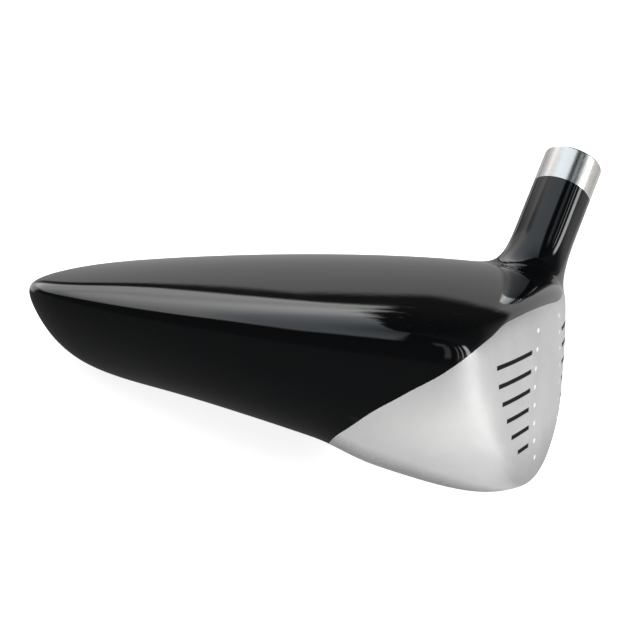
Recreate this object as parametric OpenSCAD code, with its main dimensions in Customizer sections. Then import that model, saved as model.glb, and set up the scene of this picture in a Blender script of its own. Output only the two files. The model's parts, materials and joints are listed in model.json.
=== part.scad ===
// Fairway wood club head, right handed: a hollow steel head built as a face cup,
// a crown plate, a wrap-round skirt, a sole plate and a bored hosel tube inside a
// flared neck, joined by internal weld beads.
// Millimetres, +Z up with the sole down, +X toward the toe, +Y toward the target.
// The origin is the centre of the shaft bore's mouth at the hosel tip. Points are
// worked out from the face centre and moved to that origin as each solid is made.

/* [Face] */
// Loft of the face centre, degrees
loft = 15.8; // [10:0.1:25]
// Bulge radius, heel to toe
bulge_r = 300; // [200:5:400]
// Roll radius, crown to sole
roll_r = 330; // [200:5:400]
// Wall of the hitting area
face_t = 2.1; // [1.6:0.1:3.5]

/* [Hosel] */
// Lie angle of the shaft axis, degrees
lie = 58; // [54:0.5:64]
// Shaft bore diameter
bore_d = 8.6; // [8.4:0.1:9.6]
// Bore depth from the hosel tip
bore_depth = 33; // [25:0.5:40]
// Outside diameter of the hosel
hosel_d = 12.7; // [11.5:0.1:14]
// Height of the bare steel collar at the tip
collar_h = 8; // [4:0.5:12]
// Axis length from face-centre height to the tip
hosel_len = 40.8; // [35:0.2:60]
// Heelward position of the axis at face-centre height
hosel_x = -42.1; // [-50:0.1:-35]
// Setback of the axis at face-centre height
hosel_y = -15.5; // [-20:0.1:-8]

/* [Body] */
// Crown height over the face centre, mid head
crown_z = 15.0; // [10:0.1:20]
// Crown plate wall
crown_t = 0.7; // [0.6:0.1:1.5]
// Skirt and sole wall
skirt_t = 1.2; // [0.8:0.1:2]
// Wall where the shells meet at a weld
seam_t = 1.05; // [0.8:0.05:1.5]
// Sole level relative to the face centre
sole_z = -22.1; // [-26:0.1:-18]
// Step of the front sole below the rear sole
sole_step = 1.3; // [0:0.1:3]
// Height of the crown edge over the face centre, at the face
rim_z = 10.4; // [8:0.1:12]
// Rise of that edge toward the face, mm per mm
rim_slope = 0.25; // [0:0.01:0.5]

/* [Outline] */
// Control radii of the plan outline, every 22.5 degrees from the toe over the front
outline = [55.0, 58.8, 60.3, 63.1, 60.8, 59.4, 63.0, 58.0, 54.0, 53.5, 54.9, 56.4, 55.0, 59.2, 52.9, 51.7];
// Undercut slope of the skirt, every 45 degrees from the toe over the front
under_slope = [0.21, -0.01, -0.03, 0.15, 0.33, 0.52, 0.65, 0.48];
// Undercut curvature of the skirt, same stations
under_curve = [0.0157, 0.0155, 0.0144, 0.0160, 0.0165, 0.0124, 0.0096, 0.0117];

/* [Score lines] */
// Pitch of the score lines up the face
line_pitch = 3.32; // [2.8:0.02:4]
// Width of a score line
line_w = 0.8; // [0.4:0.05:1]
// Depth of a score line
line_depth = 0.4; // [0.2:0.05:0.5]
// Paint thickness in the bottom of a score line
line_paint = 0.3; // [0.1:0.05:0.4]
// Height of an alignment dot
dot_h = 0.9; // [0.5:0.1:2]
// Width of an alignment dot across the face
dot_w = 1.8; // [0.6:0.1:3]
// Depth of an alignment dot
dot_depth = 0.3; // [0.1:0.05:0.5]

/* [Finish] */
// Paint colour of crown, skirt, sole and neck
paint_col = "#101114"; // ["#101114", "#1b1c20", "#2a2d33"]
// Satin steel colour
steel_col = "#c4c6c6"; // ["#c4c6c6", "#d0d2d2", "#a9abab"]

/* [Hidden] */
line_col = "#0b0b0c";
dot_col = "#f4f4f2";
pad_col = "#8d8f92";

probe = 0.01;                          // step for measuring the field's slope
loft_sin = sin(loft);
loft_cos = cos(loft);
plan_mid = [3, -42];                   // centre the plan outline turns about
rim_y = -7.4;                          // where rim_z is measured
rim_lift = 0.3;                        // crown seam above the rim
hosel_r = hosel_d/2;
hosel_base = [hosel_x, hosel_y, 0];    // axis at face-centre height
hosel_axis = [-cos(lie), 0, sin(lie)]; // up toward the tip
hosel_side = [sin(lie), 0, cos(lie)];  // toeward, square to the axis
tip = hosel_base + hosel_len*hosel_axis;
neck_top = hosel_len - collar_h;       // top of the painted neck on the axis
tube_r = hosel_r - seam_t;             // tube under the painted neck
bore_floor = 3;                        // steel under the bore
core = [3, -45, -3];                   // point that sees every shell from inside
face_core = [2, -30, -3];              // the same for the face cup
down = [0, 0, -1];

// ---- blending ----
// eased step from 0 to 1
function ease(v) = let(t = max(0, min(1, v))) t*t*t*(t*(6*t - 15) + 10);
function smooth_min(a, b, k) = let(h = max(k - abs(a - b), 0)/k) min(a, b) - h*h*h*k/6;
function smooth_max(a, b, k) = -smooth_min(-a, -b, k);
// v where positive, else near 0, rounded over width
function soft(v, width) = (v + sqrt(v*v + width*width))/2;
// closed cubic spline through control values, one unit of u per station
function spline(c, u) = let(n = len(c), w = u - floor(u/n)*n, i = floor(w), t = w - i, r = 1 - t)
    (r*r*r*c[(i + n - 1)%n] + (3*t*t*t - 6*t*t + 4)*c[i%n]
     + (-3*t*t*t + 3*t*t + 3*t + 1)*c[(i + 1)%n] + t*t*t*c[(i + 2)%n])/6;
// n even steps, without the last value
function steps(from, to, n) = [for (i = [0:n - 1]) from + (to - from)*i/n];

// ---- the outside of the head as one signed field, negative inside ----
function rim(y) = rim_z + rim_slope*(y - rim_y);
function crown_h(x, y) = let(rear = soft(-20.5 - y, 10), front = soft(y + 18, 6))
    crown_z - 0.2496*rear - 0.00104*rear*rear - 0.0023*front*front
    - (0.0012 + 0.0001*ease((-6 - y)/34))*(x - 1)*(x - 1);
function sole_h(x, y) = sole_z + 0.003*(x - 3.4)*(x - 3.4) - 0.0021*(y + 31.7)*(y + 31.7)
    + sole_step*(1 - ease((y + 34)/14));
// crown, skirt and sole; 0.96 and 0.99 turn heights into distances
function shells(p) = let(
    x = p.x, y = p.y, z = p.z,
    angle = atan2(y - plan_mid.y, x - plan_mid.x),
    radius = norm([x - plan_mid.x, y - plan_mid.y]),
    slope = spline(under_slope, angle/45),
    curve = spline(under_curve, angle/45),
    depth = rim(y) - z,
    below = soft(depth, 2),
    lean = slope + 2*curve*below,
    crown = (z - crown_h(x, y))*0.96,
    skirt = (radius - spline(outline, angle/22.5) + slope*depth + curve*below*below)/sqrt(1 + lean*lean),
    sole = (sole_h(x, y) - z)*0.99,
    crown_blend = 14*(0.35 + 0.65*ease((y + 100)/40)))
    smooth_max(smooth_max(crown, skirt, crown_blend), sole, 18);
// how far bulge and roll set the face back at x across and v up it
function face_sag(x, v) = x*x/(2*bulge_r) + v*v/(2*roll_r);
function up_face(p) = -loft_sin*p.y + loft_cos*p.z;
function head(p) = let(
    v = up_face(p),
    face = loft_cos*p.y + loft_sin*p.z + face_sag(p.x, v),
    edge_blend = 6 + 2*ease((12 - v)/8) - 5.3*ease(-v/12))
    smooth_max(shells(p), face, edge_blend);
function field(p) = let(
    q = p - hosel_base, s = q*hosel_axis,
    neck = max(norm(q - s*hosel_axis) - hosel_r, -s - 6),
    neck_blend = 8.9 + 2.3*ease((p.y - hosel_y + 1)/7))
    smooth_min(head(p), neck, neck_blend);
function normal(p) = let(f = field(p),
    g = [for (d = [[probe, 0, 0], [0, probe, 0], [0, 0, probe]]) field(p + d) - f])
    g/norm(g);
// the point t below the surface at p
function inset(p, t) = p - t*normal(p);
// distance along dir from a point to the surface, between lo and hi
function reach(from, dir, lo, hi, n = 17) = n == 0 ? (lo + hi)/2 :
    let(m = (lo + hi)/2)
    field(from + m*dir) < 0 ? reach(from, dir, m, hi, n - 1) : reach(from, dir, lo, m, n - 1);
// first crossing met going out from distance r, stepping back first if r is outside
function first(from, dir, r) = field(from + r*dir) > 0 ? first(from, dir, r - 2) :
    field(from + (r + 1.5)*dir) > 0 ? reach(from, dir, r, r + 1.5, 12) : first(from, dir, r + 1.5);
// surface point on the ray through p
function cast(from, p) = let(l = norm(p - from), dir = (p - from)/l)
    from + first(from, dir, max(0, l - 2))*dir;
// point of the sole straight below x, y
function sole_under(x, y) = let(from = [x, y, -12]) from + reach(from, down, 0, 16)*down;

// ---- seam between the face cup and the painted shells ----
cup_mid = [2, -3];                     // x and z the seam turns about
cup_stretch = 2.2;                     // width of that turn over its height
function cup_y(x, z) = -15.2 + 0.87*z - 0.38*soft(z - 7, 3)
    + (0.06*soft(35 - x, 4) - 0.16*soft(-16 - x, 6))*ease((z + 5)/12)
    + 1.1*ease((-11 - z)/9)*ease((x - 5)/20)
    + (0.52*ease((z + 1.5)/6) - 0.42*exp(-pow((z + 5.8)/3.6, 2)))*ease((x - 31)/13);
function cup_pt(turn, lo = 1, hi = 32, n = 17) = let(
    m = (lo + hi)/2,
    x = cup_mid[0] + cup_stretch*m*cos(turn),
    z = cup_mid[1] + m*sin(turn),
    p = [x, cup_y(x, z), z])
    n == 0 ? p : field(p) < 0 ? cup_pt(turn, m, hi, n - 1) : cup_pt(turn, lo, m, n - 1);
function cup_turn(p) = atan2(p.z - cup_mid[1], (p.x - cup_mid[0])/cup_stretch);

// ---- points on the neck, by angle about the axis and height s along it ----
function neck_pt(angle, s) = let(
    from = hosel_base + s*hosel_axis,
    dir = cos(angle)*hosel_side + sin(angle)*[0, 1, 0])
    from + reach(from, dir, 4, 60, 16)*dir;
// height of the neck's foot on the crown and skirt
function neck_foot(angle) = 5.85 + 2.85*cos(angle) - 3.65*sin(angle);
// height where the neck meets the cup's seam
function neck_cup(angle, lo = -13, hi = 26, n = 13) = let(m = (lo + hi)/2, p = neck_pt(angle, m))
    n == 0 ? m : p.y > cup_y(p.x, p.z) ? neck_cup(angle, m, hi, n - 1) : neck_cup(angle, lo, m, n - 1);
// angle where the two are level, between one with the foot higher and one with it lower
function neck_corner(higher, lower, n = 11) = let(m = (higher + lower)/2)
    n == 0 ? m : neck_foot(m) > neck_cup(m) ? neck_corner(m, lower, n - 1) : neck_corner(higher, m, n - 1);

// ---- crown to skirt seam ----
function rim_pt(angle, lift = 0) = let(
    dir = [cos(angle), sin(angle), rim_slope*sin(angle)],
    from = [plan_mid.x, plan_mid.y, rim(plan_mid.y) + rim_lift + lift])
    from + reach(from, dir, 20, 75)*dir;
// plan angle where it meets the cup's seam at the toe
function toe_meet(lo = 10, hi = 70, n = 14) = let(m = (lo + hi)/2, p = rim_pt(m))
    n == 0 ? m : p.y < cup_y(p.x, p.z) ? toe_meet(m, hi, n - 1) : toe_meet(lo, m, n - 1);

// ---- corners, where three shells meet ----
neck_rear = 261;                       // crown, skirt and neck, behind the neck
neck_upper = neck_corner(0, 60);       // crown, cup and neck
neck_lower = neck_corner(190, 100);    // skirt, cup and neck
rear_pt = neck_pt(neck_rear, neck_foot(neck_rear));
upper_pt = neck_pt(neck_upper, neck_foot(neck_upper));
lower_pt = neck_pt(neck_lower, neck_foot(neck_lower));
toe_angle = toe_meet();
toe_pt = rim_pt(toe_angle);            // crown, skirt and cup
rear_angle = atan2(rear_pt.y - plan_mid.y, rear_pt.x - plan_mid.x) - 360;
// the crown seam climbs this far to meet the neck's foot, over the last 24 degrees
rear_rise = rear_pt.z - rim(rear_pt.y) - rim_lift;
rise_span = 24;
upper_turn = cup_turn(upper_pt);
toe_turn = cup_turn(toe_pt);
lower_turn = cup_turn(lower_pt) + (cup_turn(lower_pt) < 0 ? 360 : 0);

// ---- seam curves, named by the shells they join, each without its last point ----
function cup_curve(corner, from, to, n) = let(turns = steps(from, to, n))
    [for (i = [0:n - 1]) i == 0 ? corner : cup_pt(turns[i])];
crown_neck_angles = steps(neck_rear, 360 + neck_upper, 16);
cup_neck_angles = steps(neck_upper, neck_lower, 14);
skirt_neck_angles = steps(neck_lower, neck_rear, 12);
cup_neck_s = [for (a = cup_neck_angles) a == neck_upper ? neck_foot(a) : neck_cup(a)];

crown_skirt = [for (a = steps(toe_angle, rear_angle, 40))
    rim_pt(a, rear_rise*ease((rear_angle + rise_span - a)/rise_span))];
crown_neck = [for (a = crown_neck_angles) neck_pt(a, neck_foot(a))];
crown_cup = cup_curve(upper_pt, upper_turn, toe_turn, 22);
cup_neck = [for (i = [0:len(cup_neck_s) - 1]) neck_pt(cup_neck_angles[i], cup_neck_s[i])];
skirt_neck = [for (a = skirt_neck_angles) neck_pt(a, neck_foot(a))];
skirt_cup = cup_curve(lower_pt, lower_turn, 360 + toe_turn, 40);
// a curve walked the other way, again without its last point
function back(curve, last) = concat([last], [for (i = [len(curve) - 1:-1:1]) curve[i]]);

crown_loop = concat(crown_skirt, crown_neck, crown_cup);
skirt_loop = concat(crown_skirt, back(skirt_neck, rear_pt), skirt_cup);
cup_loop = concat(back(skirt_cup, toe_pt), back(cup_neck, lower_pt), crown_cup);
neck_loop = concat(crown_neck, cup_neck, skirt_neck);
neck_angles = concat(crown_neck_angles, cup_neck_angles, skirt_neck_angles);
neck_s = concat([for (a = crown_neck_angles) neck_foot(a)], cup_neck_s,
    [for (a = skirt_neck_angles) neck_foot(a)]);

// ---- sole plate outline: an oval on the sole, one point for each skirt loop point ----
sole_mid = [2, -66];
sole_half = [25, 21];
sole_power = 2.4;
function sole_pt(a) = let(r = 1/pow(pow(abs(cos(a))/sole_half.x, sole_power)
        + pow(abs(sin(a))/sole_half.y, sole_power), 1/sole_power))
    sole_under(sole_mid.x + r*cos(a), sole_mid.y + r*sin(a));
function sole_dir(p) = atan2(p.y - sole_mid.y, p.x - sole_mid.x);
function half_turn(a) = a - 360*floor((a + 180)/360);
// mostly even steps round the oval, leaning toward the direction of each skirt point
sole_loop = [for (j = [0:len(skirt_loop) - 1])
    let(even = sole_dir(skirt_loop[0]) - 360*j/len(skirt_loop))
    sole_pt(even + 0.3*half_turn(sole_dir(skirt_loop[j]) - even))];

// ---- closed shells from rows of outside points, each row a loop of n ----
function flatten(rows) = [for (r = rows) for (p = r) p];
function from_tip(pts) = [for (p = pts) p - tip];
function flip(faces) = [for (f = faces) [f[2], f[1], f[0]]];
// triangles between rows a and b
function quads(a, b, n) = [for (j = [0:n - 1]) let(k = (j + 1)%n)
    each [[a*n + j, b*n + j, b*n + k], [a*n + j, b*n + k, a*n + k]]];
// triangles from point mid to a row
function fan(mid, row, n) = [for (j = [0:n - 1]) [mid, row*n + j, row*n + (j + 1)%n]];
// m rows outside, m inside and the rim at the last row
function wall_faces(m, n) = concat(
    [for (i = [0:m - 2]) each concat(quads(i, i + 1, n), quads(m + i + 1, m + i, n))],
    quads(m - 1, 2*m - 1, n));
// outside rows, then the same rows inset by the wall t of each
function wall_points(rows, t) = concat(flatten(rows),
    [for (i = [0:len(rows) - 1]) for (p = rows[i]) inset(p, t[i])]);
// a ring of wall, open in the middle
module ring_shell(rows, t) {
    n = len(rows[0]);
    m = len(rows);
    polyhedron(from_tip(wall_points(rows, t)),
        flip(concat(wall_faces(m, n), quads(m, 0, n))), convexity = 10);
}
// a domed wall: a middle point, rows out to the rim; turn it if the rows run the other way
module cap_shell(mid, rows, t, turn = false) {
    n = len(rows[0]);
    m = len(rows);
    faces = concat(fan(2*m*n, 0, n), flip(fan(2*m*n + 1, m, n)), wall_faces(m, n));
    polyhedron(from_tip(concat(wall_points(rows, t), [mid, inset(mid, t[0])])),
        turn ? flip(faces) : faces, convexity = 10);
}
// where the ray through p starts. Crown: low inside, a third of the way to the core.
// Skirt: as far behind the cup's seam as p is, so that no ray crosses the seam
function crown_from(p) = [p.x + 0.3*(core.x - p.x), p.y + 0.3*(core.y - p.y), rim(p.y) - 8];
function skirt_from(p) = [core.x, max(core.y, cup_y(core.x, core.z) - cup_y(p.x, p.z) + p.y), core.z];
// half-round bead laid along the inside of a seam, open or closed
bead_r = 0.6;
module bead(seam, closed = false) {
    n = len(seam);
    pts = [for (j = [0:n - 1]) let(
        out = normal(seam[j]),
        along = seam[closed ? (j + 1)%n : min(j + 1, n - 1)] - seam[closed ? (j + n - 1)%n : max(j - 1, 0)],
        across = cross(out, along),
        side = bead_r*across/norm(across),
        q = seam[j] - seam_t*out)
        each [q - side - 0.15*out, q - 0.03*out, q + side - 0.15*out,
            q + 0.5*side - 0.8*out, q - 0.5*side - 0.8*out]];
    walls = [for (j = [0:(closed ? n - 1 : n - 2)]) for (k = [0:4])
        let(a = 5*j + k, b = 5*j + (k + 1)%5, c = 5*((j + 1)%n) + k, d = 5*((j + 1)%n) + (k + 1)%5)
        each [[a, b, c], [b, d, c]]];
    ends = closed ? [] : [[0, 4, 3], [0, 3, 1], [1, 3, 2],
        [5*n - 5, 5*n - 2, 5*n - 1], [5*n - 5, 5*n - 4, 5*n - 2], [5*n - 4, 5*n - 3, 5*n - 2]];
    polyhedron(from_tip(pts), concat(walls, ends), convexity = 10);
}

// ---- face details; side is 1 for toe, -1 for heel ----
// ends of each score line from the face centre, top line first
line_in = [18.2, 18.9, 19.3, 20.0, 19.4, 19.0];
toe_out = [41.0, 40.0, 37.8, 34.9, 31.8, 27.0];
// the face turns away sooner at the heel, so its five lines end sooner
heel_out = [33, 32, 29, 25.2, 22.3];
// distance of each alignment dot from the middle, top dot first
dot_x = [12.9, 13.9, 15.0, 15.5, 15.2, 14.9, 14.1, 12.7];
cut_over = 1;                          // cutters stand this far proud of the face
dot_gap = 0.04;                        // dot paint lies this far under the face

// point of the bulged and rolled face at x across and v up it
function face_pt(x, v) = let(u = -face_sag(x, v))
    [x, loft_cos*u - loft_sin*v, loft_sin*u + loft_cos*v];
// distance from the face centre to the face's edge, toward (a, b)
function edge_r(a, b, lo = 2, hi = 75, n = 14) = let(m = (lo + hi)/2)
    n == 0 ? m : shells(face_pt(m*a, m*b)) < 0 ? edge_r(a, b, m, hi, n - 1) : edge_r(a, b, lo, m, n - 1);
// x across the face, y out of it, z up it, from the face centre
module on_face() multmatrix([[1, 0, 0, -tip.x],
    [0, loft_cos, -loft_sin, -tip.y],
    [0, loft_sin, loft_cos, -tip.z],
    [0, 0, 0, 1]]) children();
// a bar that follows the bulge: x0..x1 across the face, top..bottom deep, at height v
module face_bar(x0, x1, v, top, bottom)
    on_face()
    translate([0, -bulge_r - face_sag(0, v), v - line_w/2])
    rotate([0, 0, 90 - asin(x1/bulge_r)])
    rotate_extrude(angle = asin(x1/bulge_r) - asin(x0/bulge_r), $fn = 720)
    translate([bulge_r - bottom, 0]) square([bottom - top, line_w]);
module score_bars(side, top, bottom) {
    outer = side > 0 ? toe_out : heel_out;
    for (i = [0:len(outer) - 1]) {
        ends = [side*line_in[i], side*outer[i]];
        face_bar(min(ends), max(ends), (2 - i)*line_pitch, top, bottom);
    }
}
// eight dots at the toe, seven at the heel
module face_dots(side, top, bottom) for (i = [0:side > 0 ? 7 : 6]) {
    v = (3 - i)*line_pitch;
    x = side*dot_x[i];
    on_face()
    translate([x, -face_sag(x, v), v])
    rotate([0, 0, -asin(x/bulge_r)]) rotate([asin(v/roll_r), 0, 0])
    rotate([90, 0, 0]) translate([0, 0, top]) linear_extrude(bottom - top)
    polygon([for (a = [0:15:345]) [dot_w/2*cos(a), dot_h/2*sin(a)]]);
}

// ---- sub-parts ----
module face_cup() color(steel_col) difference() {
    edge = [for (p = cup_loop) let(v = up_face(p), l = norm([p.x, v]),
        r = min(edge_r(p.x/l, v/l), 0.965*l)) [r*p.x/l, r*v/l]];
    face_rows = [for (w = [0.25, 0.5, 0.72, 0.87, 0.95, 1])
        [for (e = edge) cast(face_core, face_pt(w*e.x, w*e.y))]];
    return_rows = [for (w = [0.08, 0.18, 0.32, 0.5, 0.74, 1])
        [for (j = [0:len(edge) - 1]) let(e = face_pt(edge[j].x, edge[j].y))
            w == 1 ? cup_loop[j] : cast(face_core, e + w*(cup_loop[j] - e))]];
    // the wall thins from the hitting area to the seam
    wall = [face_t, face_t, face_t, face_t - 0.3, face_t - 0.7, 1.4,
        1.3, 1.2, 1.15, 1.1, seam_t, seam_t];
    cap_shell(cast(face_core, [0, 0, 0]), concat(face_rows, return_rows), wall, true);
    for (side = [1, -1]) {
        score_bars(side, -cut_over, line_depth);
        face_dots(side, -cut_over, dot_depth);
    }
}

module crown_plate() color(paint_col) {
    mid = cast(core, [2, -46, 9]);
    out = [0.16, 0.32, 0.47, 0.6, 0.71, 0.8, 0.87, 0.92, 0.96, 1];
    rows = [for (w = out) [for (p = crown_loop) let(q = mid + w*(p - mid))
        w == 1 ? p : cast(crown_from(q), q)]];
    cap_shell(mid, rows, [for (w = out) seam_t + (crown_t - seam_t)*ease((1 - w)/0.15)]);
}

module body_skirt() color(paint_col) {
    up = [0, 0.16, 0.32, 0.48, 0.64, 0.8, 0.92, 1];
    rows = [for (w = up) [for (j = [0:len(skirt_loop) - 1])
        let(low = sole_loop[j], high = skirt_loop[j], q = low + w*(high - low))
        w == 0 ? low : w == 1 ? high : cast(skirt_from(q), q)]];
    ring_shell(rows, [for (w = up) seam_t + (skirt_t - seam_t)*ease(w/0.2)*ease((1 - w)/0.2)]);
}

module sole_plate() color(paint_col) {
    mid = cast(core, [sole_mid.x, sole_mid.y, -20]);
    rows = [for (w = [0.35, 0.7, 1]) [for (p = sole_loop)
        w == 1 ? p : cast(core, mid + w*(p - mid))]];
    cap_shell(mid, rows, [skirt_t + 0.4, skirt_t + 0.2, seam_t], true);
}

module hosel_neck() color(paint_col) {
    fall = [0, 0.2, 0.38, 0.53, 0.66, 0.77, 0.86, 0.94, 1];
    rows = [for (w = fall) [for (j = [0:len(neck_angles) - 1])
        w == 1 ? neck_loop[j] : neck_pt(neck_angles[j], neck_top + w*(neck_s[j] - neck_top))]];
    ring_shell(rows, [for (w = fall) seam_t]);
}

// the tube clears the neck by 0.02 and has a rounded tip edge
module hosel_tube() color(steel_col) rotate([0, lie - 90, 0]) rotate_extrude($fn = 96)
    polygon([[bore_d/2, 0], [hosel_r - 0.5, 0], [hosel_r - 0.15, -0.15], [hosel_r, -0.5],
        [hosel_r, -collar_h + 0.02], [tube_r - 0.02, -collar_h + 0.02],
        [tube_r - 0.02, -bore_depth - bore_floor], [0, -bore_depth - bore_floor],
        [0, -bore_depth], [bore_d/2, -bore_depth]]);

// slab that beds on the inside of the sole plate, flat on top
module rear_weight_pad() color(pad_col) {
    n = 28;
    mid = [2, -75];
    top_z = -17;
    sink = skirt_t + 0.45;
    rings = [for (r = [5.5, 11]) for (i = [0:n - 1])
        inset(sole_under(mid.x + r*1.35*cos(360*i/n), mid.y + r*0.8*sin(360*i/n)), sink)];
    top = [for (i = [0:n - 1]) [rings[n + i].x, rings[n + i].y, top_z]];
    centres = [inset(sole_under(mid.x, mid.y), sink), [mid.x, mid.y, top_z]];
    polyhedron(from_tip(concat(rings, top, centres)),
        concat(fan(3*n, 0, n), quads(0, 1, n), quads(1, 2, n), flip(fan(3*n + 1, 2, n))));
}

// the open beads stop short of the corners
module front_weld_bead() color(steel_col) bead(cup_loop, true);
module crown_weld_bead() color(steel_col)
    bead([for (i = [1:len(crown_skirt) - 1]) crown_skirt[i]]);
module neck_weld_bead() color(steel_col)
    bead(concat([for (i = [1:len(skirt_neck) - 1]) skirt_neck[i]],
        [for (i = [0:len(crown_neck) - 2]) crown_neck[i]]));
module sole_weld_bead() color(steel_col) bead(sole_loop, true);

module toe_score_paint() color(line_col) score_bars(1, line_depth - line_paint, line_depth);
module heel_score_paint() color(line_col) score_bars(-1, line_depth - line_paint, line_depth);
module toe_dot_paint() color(dot_col) face_dots(1, dot_gap, dot_depth);
module heel_dot_paint() color(dot_col) face_dots(-1, dot_gap, dot_depth);

face_cup();
crown_plate();
body_skirt();
sole_plate();
hosel_neck();
hosel_tube();
rear_weight_pad();
front_weld_bead();
crown_weld_bead();
neck_weld_bead();
sole_weld_bead();
toe_score_paint();
heel_score_paint();
toe_dot_paint();
heel_dot_paint();
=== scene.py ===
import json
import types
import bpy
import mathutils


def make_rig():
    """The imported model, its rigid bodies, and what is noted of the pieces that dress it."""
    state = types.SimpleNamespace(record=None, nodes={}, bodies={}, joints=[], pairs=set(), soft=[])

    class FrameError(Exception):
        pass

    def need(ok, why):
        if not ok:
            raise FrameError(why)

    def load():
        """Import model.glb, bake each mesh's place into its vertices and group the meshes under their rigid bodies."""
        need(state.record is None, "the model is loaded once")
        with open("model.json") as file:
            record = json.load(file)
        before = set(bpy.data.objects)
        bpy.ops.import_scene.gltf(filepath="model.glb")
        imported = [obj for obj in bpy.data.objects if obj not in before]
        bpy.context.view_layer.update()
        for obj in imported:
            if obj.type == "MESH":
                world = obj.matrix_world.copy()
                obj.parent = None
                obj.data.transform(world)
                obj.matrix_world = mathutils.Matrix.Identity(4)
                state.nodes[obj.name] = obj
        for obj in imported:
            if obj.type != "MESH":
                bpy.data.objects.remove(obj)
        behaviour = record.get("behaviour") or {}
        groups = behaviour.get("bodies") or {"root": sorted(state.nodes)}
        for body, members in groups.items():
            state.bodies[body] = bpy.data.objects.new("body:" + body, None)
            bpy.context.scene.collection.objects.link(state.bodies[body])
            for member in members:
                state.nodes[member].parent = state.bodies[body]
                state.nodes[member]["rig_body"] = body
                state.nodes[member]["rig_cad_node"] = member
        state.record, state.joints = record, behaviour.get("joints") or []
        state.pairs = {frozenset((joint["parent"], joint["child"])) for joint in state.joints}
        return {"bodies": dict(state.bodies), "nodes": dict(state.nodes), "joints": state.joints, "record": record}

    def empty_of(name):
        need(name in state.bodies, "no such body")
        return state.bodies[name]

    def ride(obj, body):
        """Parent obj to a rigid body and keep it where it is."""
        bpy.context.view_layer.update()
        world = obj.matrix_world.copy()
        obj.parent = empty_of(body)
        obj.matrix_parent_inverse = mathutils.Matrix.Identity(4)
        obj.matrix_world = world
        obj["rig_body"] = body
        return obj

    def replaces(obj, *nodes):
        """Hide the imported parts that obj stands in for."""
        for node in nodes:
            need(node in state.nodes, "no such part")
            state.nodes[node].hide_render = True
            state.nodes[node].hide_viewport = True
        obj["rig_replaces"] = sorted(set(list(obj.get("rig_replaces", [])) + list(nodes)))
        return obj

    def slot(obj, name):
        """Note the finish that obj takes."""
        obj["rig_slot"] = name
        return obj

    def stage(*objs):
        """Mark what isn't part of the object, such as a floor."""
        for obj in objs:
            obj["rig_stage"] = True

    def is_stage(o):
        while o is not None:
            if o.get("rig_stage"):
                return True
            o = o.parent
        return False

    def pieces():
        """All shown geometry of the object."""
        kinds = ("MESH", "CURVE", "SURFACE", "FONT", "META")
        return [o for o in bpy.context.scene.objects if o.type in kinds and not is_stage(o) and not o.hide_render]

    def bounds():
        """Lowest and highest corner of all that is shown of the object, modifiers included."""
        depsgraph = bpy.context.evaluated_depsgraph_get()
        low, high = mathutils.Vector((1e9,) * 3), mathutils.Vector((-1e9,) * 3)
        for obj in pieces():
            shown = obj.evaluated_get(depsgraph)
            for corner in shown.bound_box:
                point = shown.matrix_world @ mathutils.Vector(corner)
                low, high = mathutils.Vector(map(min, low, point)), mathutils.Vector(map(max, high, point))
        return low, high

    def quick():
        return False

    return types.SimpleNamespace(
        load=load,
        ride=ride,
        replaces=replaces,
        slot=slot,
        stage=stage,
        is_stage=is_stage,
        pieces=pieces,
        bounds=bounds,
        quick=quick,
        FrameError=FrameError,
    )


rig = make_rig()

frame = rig.load()

import json
import math
import bpy
import bmesh
import numpy as np
from mathutils import Matrix, Vector

cad_box = [list(map(float, c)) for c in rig.bounds()]

# ------------------------------------------------------------------ the head's surface, as in the CAD source (mm)
LOFT, BULGE, ROLL, FACE_T = 15.8, 300.0, 330.0, 2.1
LIE, BORE_D, BORE_DEPTH, HOSEL_D, COLLAR_H, HOSEL_LEN, HOSEL_X, HOSEL_Y = 58.0, 8.6, 33.0, 12.7, 8.0, 40.8, -42.1, -15.5
CROWN_Z, CROWN_T, SKIRT_T, SEAM_T, SOLE_Z, SOLE_STEP, RIM_Z, RIM_SLOPE = 15.0, 0.7, 1.2, 1.05, -22.1, 1.3, 10.4, 0.25
OUTLINE = np.array([55.0, 58.8, 60.3, 63.1, 60.8, 59.4, 63.0, 58.0, 54.0, 53.5, 54.9, 56.4, 55.0, 59.2, 52.9, 51.7])
UNDER_A = np.array([0.21, -0.01, -0.03, 0.15, 0.33, 0.52, 0.65, 0.48])
UNDER_B = np.array([0.0157, 0.0155, 0.0144, 0.0160, 0.0165, 0.0124, 0.0096, 0.0117])
PITCH, LINE_W, LINE_DEPTH, LINE_PAINT, DOT_D, DOT_DEPTH = 3.32, 0.8, 0.4, 0.3, 0.9, 0.3
LINE_OUT = [41.0, 40.0, 37.8, 34.9, 31.8, 27.0]
HEEL_OUT = [33, 32, 29, 25.2, 22.3]
DOT_W = 1.8
LINE_IN = [18.2, 18.9, 19.3, 20.0, 19.4, 19.0]
DOT_X = [12.9, 13.9, 15.0, 15.5, 15.2, 14.9, 14.1, 12.7]

rad = math.radians
SN, CS = math.sin(rad(LOFT)), math.cos(rad(LOFT))
HR = HOSEL_D / 2
AX = np.array([-math.cos(rad(LIE)), 0.0, math.sin(rad(LIE))])
EX = np.array([math.sin(rad(LIE)), 0.0, math.cos(rad(LIE))])
EY = np.array([0.0, 1.0, 0.0])
HOSEL = np.array([HOSEL_X, HOSEL_Y, 0.0])
TIP = HOSEL + HOSEL_LEN * AX
S_NECK = HOSEL_LEN - COLLAR_H
TUBE_R = HR - SEAM_T
CORE = np.array([3.0, -45.0, -3.0])
FACE_CORE = np.array([2.0, -30.0, -3.0])
SOLE_C = np.array([2.0, -66.0])
PLAN_C = np.array([3.0, -42.0])


def sst(v):
    t = np.clip(v, 0, 1)
    return t * t * t * (t * (6 * t - 15) + 10)


def pmin(a, b, k):
    h = np.maximum(k - np.abs(a - b), 0) / k
    return np.minimum(a, b) - h * h * h * k / 6


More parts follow.
